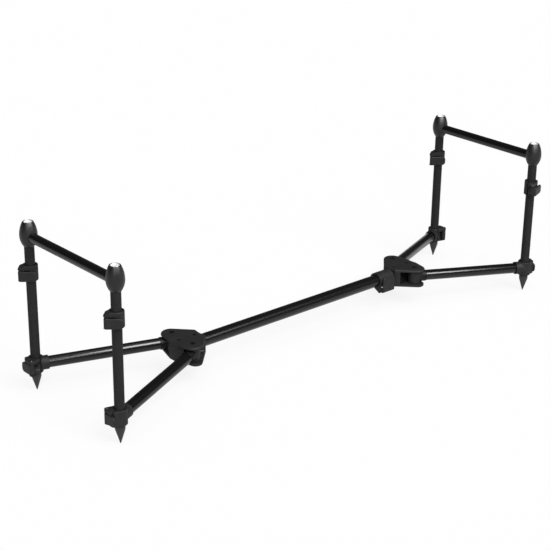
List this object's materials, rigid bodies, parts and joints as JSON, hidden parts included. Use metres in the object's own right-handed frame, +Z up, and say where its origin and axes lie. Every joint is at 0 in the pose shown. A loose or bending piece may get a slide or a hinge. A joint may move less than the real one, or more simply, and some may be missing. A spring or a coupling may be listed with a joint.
{
  "type": "rod pod",
  "caption": "Low fishing rod pod: telescopic centre bar, folding legs on two hubs, and a goalpost of telescopic spiked uprights with threaded heads at each end.",
  "frame": {"origin": "on the ground plane of the spike tips, midway between the four uprights", "axes": "+X along the centre bar from the front end to the rear end, +Y to the left, +Z up"},
  "size_m": [0.9653, 0.2642, 0.287],
  "materials": {
    "gloss_black_tube": "gloss black anodised",
    "satin_black_tube": "satin black anodised",
    "satin_black_head": "satin black anodised",
    "bright_insert": "bright turned stainless steel",
    "steel_pin": "plain steel",
    "black_steel": "blackened steel",
    "black_plastic": "matte black moulded nylon"
  },
  "bodies": {
    "frame": {"centre_bar_outer": "gloss_black_tube", "centre_lock_collar": "black_plastic", "hub_front_lower": "black_plastic", "hub_front_upper": "black_plastic", "frame_front_fasteners": "black_steel"},
    "centre_lock_lever": {"centre_lock_lever": "black_plastic"},
    "rear_frame": {"centre_bar_inner": "gloss_black_tube", "hub_rear_lower": "black_plastic", "hub_rear_upper": "black_plastic", "hub_rear_fasteners": "black_steel"},
    "leg_front_left": {"leg_front_left": "gloss_black_tube", "clamp_front_left": "black_plastic", "clamp_pin_front_left": "steel_pin"},
    "clamp_lever_front_left": {"clamp_lever_front_left": "black_plastic"},
    "upright_front_left": {"upright_front_left": "satin_black_tube", "spike_front_left": "satin_black_tube", "collar_front_left": "black_plastic", "collar_pin_front_left": "steel_pin"},
    "collar_lever_front_left": {"collar_lever_front_left": "black_plastic"},
    "riser_front_left": {"riser_front_left": "satin_black_tube", "head_front_left": "satin_black_head", "insert_front_left": "bright_insert", "beam_front": "gloss_black_tube"},
    "leg_front_right": {"leg_front_right": "gloss_black_tube", "clamp_front_right": "black_plastic", "clamp_pin_front_right": "steel_pin"},
    "clamp_lever_front_right": {"clamp_lever_front_right": "black_plastic"},
    "upright_front_right": {"upright_front_right": "satin_black_tube", "spike_front_right": "satin_black_tube", "collar_front_right": "black_plastic", "collar_pin_front_right": "steel_pin"},
    "collar_lever_front_right": {"collar_lever_front_right": "black_plastic"},
    "riser_front_right": {"riser_front_right": "satin_black_tube", "head_front_right": "satin_black_head", "insert_front_right": "bright_insert"},
    "leg_rear_left": {"leg_rear_left": "gloss_black_tube", "clamp_rear_left": "black_plastic", "clamp_pin_rear_left": "steel_pin"},
    "clamp_lever_rear_left": {"clamp_lever_rear_left": "black_plastic"},
    "upright_rear_left": {"upright_rear_left": "satin_black_tube", "spike_rear_left": "satin_black_tube", "collar_rear_left": "black_plastic", "collar_pin_rear_left": "steel_pin"},
    "collar_lever_rear_left": {"collar_lever_rear_left": "black_plastic"},
    "riser_rear_left": {"riser_rear_left": "satin_black_tube", "head_rear_left": "satin_black_head", "insert_rear_left": "bright_insert", "beam_rear": "gloss_black_tube"},
    "leg_rear_right": {"leg_rear_right": "gloss_black_tube", "clamp_rear_right": "black_plastic", "clamp_pin_rear_right": "steel_pin"},
    "clamp_lever_rear_right": {"clamp_lever_rear_right": "black_plastic"},
    "upright_rear_right": {"upright_rear_right": "satin_black_tube", "spike_rear_right": "satin_black_tube", "collar_rear_right": "black_plastic", "collar_pin_rear_right": "steel_pin"},
    "collar_lever_rear_right": {"collar_lever_rear_right": "black_plastic"},
    "riser_rear_right": {"riser_rear_right": "satin_black_tube", "head_rear_right": "satin_black_head", "insert_rear_right": "bright_insert"}
  },
  "joints": [
    {"name": "centre_bar_slide", "type": "slide", "parent": "frame", "child": "rear_frame", "axis": [1, 0, 0], "range_m": [0, 0.25]},
    {"name": "centre_lock_lever_turn", "type": "hinge", "parent": "frame", "child": "centre_lock_lever", "pos_m": [0.201, -0.01, 0.038], "axis": [1, 0, 0], "range_deg": [0, 95]},
    {"name": "leg_front_left_fold", "type": "hinge", "parent": "frame", "child": "leg_front_left", "pos_m": [-0.256, 0.028, 0.0545], "axis": [0, 0, -1], "range_deg": [0, 150]},
    {"name": "clamp_lever_front_left_turn", "type": "hinge", "parent": "leg_front_left", "child": "clamp_lever_front_left", "pos_m": [-0.4763, 0.1035, 0.0455], "axis": [0, 0, 1], "range_deg": [0, 100]},
    {"name": "upright_front_left_slide", "type": "slide", "parent": "leg_front_left", "child": "upright_front_left", "axis": [0, 0, 1], "range_m": [-0.12, 0.07]},
    {"name": "collar_lever_front_left_turn", "type": "hinge", "parent": "upright_front_left", "child": "collar_lever_front_left", "pos_m": [-0.47787, 0.11787, 0.204], "axis": [0, 0, -1], "range_deg": [0, 100]},
    {"name": "riser_front_left_slide", "type": "slide", "parent": "upright_front_left", "child": "riser_front_left", "axis": [0, 0, 1], "range_m": [0, 0.1]},
    {"name": "leg_front_right_fold", "type": "hinge", "parent": "frame", "child": "leg_front_right", "pos_m": [-0.256, -0.028, 0.0545], "axis": [0, 0, 1], "range_deg": [0, 150]},
    {"name": "clamp_lever_front_right_turn", "type": "hinge", "parent": "leg_front_right", "child": "clamp_lever_front_right", "pos_m": [-0.4763, -0.1035, 0.0455], "axis": [0, 0, -1], "range_deg": [0, 100]},
    {"name": "upright_front_right_slide", "type": "slide", "parent": "leg_front_right", "child": "upright_front_right", "axis": [0, 0, 1], "range_m": [-0.12, 0.07]},
    {"name": "collar_lever_front_right_turn", "type": "hinge", "parent": "upright_front_right", "child": "collar_lever_front_right", "pos_m": [-0.47787, -0.11213, 0.204], "axis": [0, 0, -1], "range_deg": [0, 100]},
    {"name": "riser_front_right_slide", "type": "slide", "parent": "upright_front_right", "child": "riser_front_right", "axis": [0, 0, 1], "range_m": [0, 0.1]},
    {"name": "leg_rear_left_fold", "type": "hinge", "parent": "rear_frame", "child": "leg_rear_left", "pos_m": [0.256, 0.028, 0.0545], "axis": [0, 0, 1], "range_deg": [0, 150]},
    {"name": "clamp_lever_rear_left_turn", "type": "hinge", "parent": "leg_rear_left", "child": "clamp_lever_rear_left", "pos_m": [0.4763, 0.1035, 0.0455], "axis": [0, 0, -1], "range_deg": [0, 100]},
    {"name": "upright_rear_left_slide", "type": "slide", "parent": "leg_rear_left", "child": "upright_rear_left", "axis": [0, 0, 1], "range_m": [-0.12, 0.07]},
    {"name": "collar_lever_rear_left_turn", "type": "hinge", "parent": "upright_rear_left", "child": "collar_lever_rear_left", "pos_m": [0.44613, 0.11787, 0.204], "axis": [0, 0, -1], "range_deg": [0, 100]},
    {"name": "riser_rear_left_slide", "type": "slide", "parent": "upright_rear_left", "child": "riser_rear_left", "axis": [0, 0, 1], "range_m": [0, 0.1]},
    {"name": "leg_rear_right_fold", "type": "hinge", "parent": "rear_frame", "child": "leg_rear_right", "pos_m": [0.256, -0.028, 0.0545], "axis": [0, 0, -1], "range_deg": [0, 150]},
    {"name": "clamp_lever_rear_right_turn", "type": "hinge", "parent": "leg_rear_right", "child": "clamp_lever_rear_right", "pos_m": [0.4763, -0.1035, 0.0455], "axis": [0, 0, 1], "range_deg": [0, 100]},
    {"name": "upright_rear_right_slide", "type": "slide", "parent": "leg_rear_right", "child": "upright_rear_right", "axis": [0, 0, 1], "range_m": [-0.12, 0.07]},
    {"name": "collar_lever_rear_right_turn", "type": "hinge", "parent": "upright_rear_right", "child": "collar_lever_rear_right", "pos_m": [0.45158, -0.12731, 0.204], "axis": [0, 0, -1], "range_deg": [0, 100]},
    {"name": "riser_rear_right_slide", "type": "slide", "parent": "upright_rear_right", "child": "riser_rear_right", "axis": [0, 0, 1], "range_m": [0, 0.1]}
  ],
  "couplings": [
    {"joint": "upright_front_right_slide", "follows": "upright_front_left_slide", "ratio": 1},
    {"joint": "riser_front_right_slide", "follows": "riser_front_left_slide", "ratio": 1},
    {"joint": "upright_rear_right_slide", "follows": "upright_rear_left_slide", "ratio": 1},
    {"joint": "riser_rear_right_slide", "follows": "riser_rear_left_slide", "ratio": 1}
  ]
}
